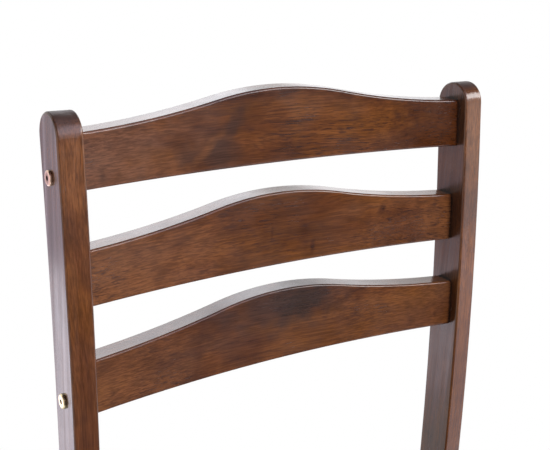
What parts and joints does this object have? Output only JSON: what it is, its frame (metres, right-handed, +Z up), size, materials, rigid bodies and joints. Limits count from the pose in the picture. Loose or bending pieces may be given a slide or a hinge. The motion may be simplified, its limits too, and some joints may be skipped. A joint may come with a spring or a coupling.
{
  "type": "ladder-back dining chair",
  "caption": "Ladder-back dining chair in dark stained wood: curved back posts, bowed humped slats, dished plank seat and stretchers, bolted together.",
  "frame": {"origin": "on the floor, under the middle of the chair's bounding box", "axes": "+Z up, the sitter faces -Y, +X to the right as seen from in front of the chair"},
  "size_m": [0.457, 0.469, 0.905],
  "materials": {
    "stained_wood": "dark walnut stain under satin lacquer",
    "dowel_wood": "bare beech",
    "block_wood": "bare sawn hardwood",
    "bolt_brass": "bronze-coloured plating, semi-bright",
    "zinc_steel": "zinc plated",
    "glide_plastic": "moulded, matt"
  },
  "bodies": {
    "root": {"apron_barrel_nuts": "zinc_steel", "block_screws": "zinc_steel", "bottom_slat": "stained_wood", "cross_apron_dowels": "dowel_wood", "cross_stretcher": "stained_wood", "front_apron": "stained_wood", "front_apron_bolts": "bolt_brass", "front_left_corner_block": "block_wood", "front_left_glide": "glide_plastic", "front_right_corner_block": "block_wood", "front_right_glide": "glide_plastic", "glide_nails": "zinc_steel", "left_back_post": "stained_wood", "left_front_leg": "stained_wood", "left_side_apron": "stained_wood", "left_side_stretcher": "stained_wood", "middle_slat": "stained_wood", "rear_apron": "stained_wood", "rear_apron_bolts": "bolt_brass", "rear_left_corner_block": "block_wood", "rear_left_glide": "glide_plastic", "rear_right_corner_block": "block_wood", "rear_right_glide": "glide_plastic", "right_back_post": "stained_wood", "right_front_leg": "stained_wood", "right_side_apron": "stained_wood", "right_side_stretcher": "stained_wood", "seat_panel": "stained_wood", "seat_screws": "zinc_steel", "side_apron_dowels": "dowel_wood", "slat_barrel_nuts": "zinc_steel", "slat_bolts": "bolt_brass", "slat_dowels": "dowel_wood", "stretcher_barrel_nuts": "zinc_steel", "stretcher_bolts": "bolt_brass", "stretcher_dowels": "dowel_wood", "top_slat": "stained_wood"}
  },
  "joints": []
}
